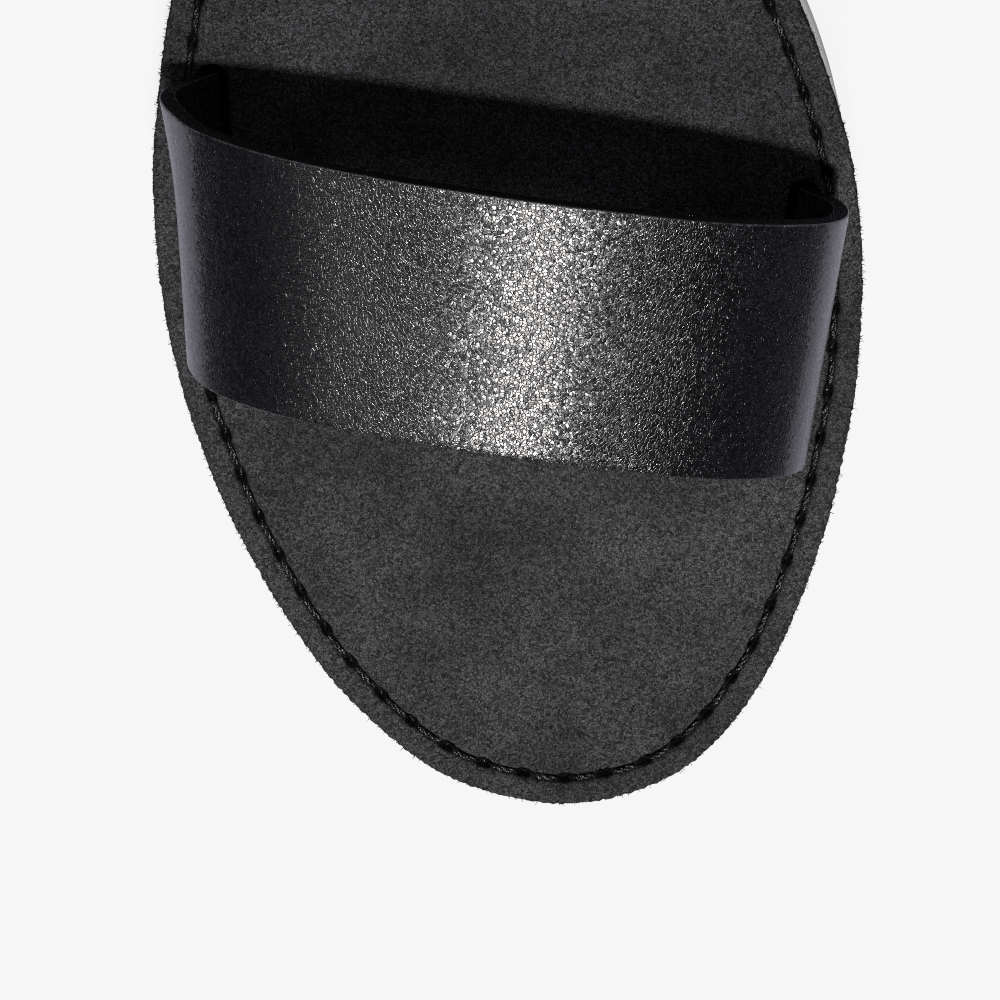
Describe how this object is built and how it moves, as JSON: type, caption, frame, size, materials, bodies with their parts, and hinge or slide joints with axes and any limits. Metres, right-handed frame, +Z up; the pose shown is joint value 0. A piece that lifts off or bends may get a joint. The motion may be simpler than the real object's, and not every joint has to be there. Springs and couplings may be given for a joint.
{
  "type": "leather slide sandal",
  "caption": "Right-foot flat slide sandal: wide black leather strap arched over a stitched black leather footbed on a pale grey moulded outsole.",
  "frame": {"origin": "under the middle of the sandal's box, on the plane that it stands on", "axes": "+Z up, toe at -Y, heel at +Y, inner side of the foot at +X"},
  "size_m": [0.088, 0.2504, 0.0524],
  "materials": {
    "footbed_leather": "matt black full-grain leather, fine pebble grain, raw cut edges",
    "strap_leather": "smooth black leather with a soft gloss and fine grain, cut edges with a thin dressed line",
    "outsole_rubber": "pale warm grey moulded rubber, matt",
    "thread": "thick waxed black thread"
  },
  "bodies": {
    "root": {"footbed": "footbed_leather", "strap": "strap_leather", "outsole": "outsole_rubber"}
  },
  "joints": []
}
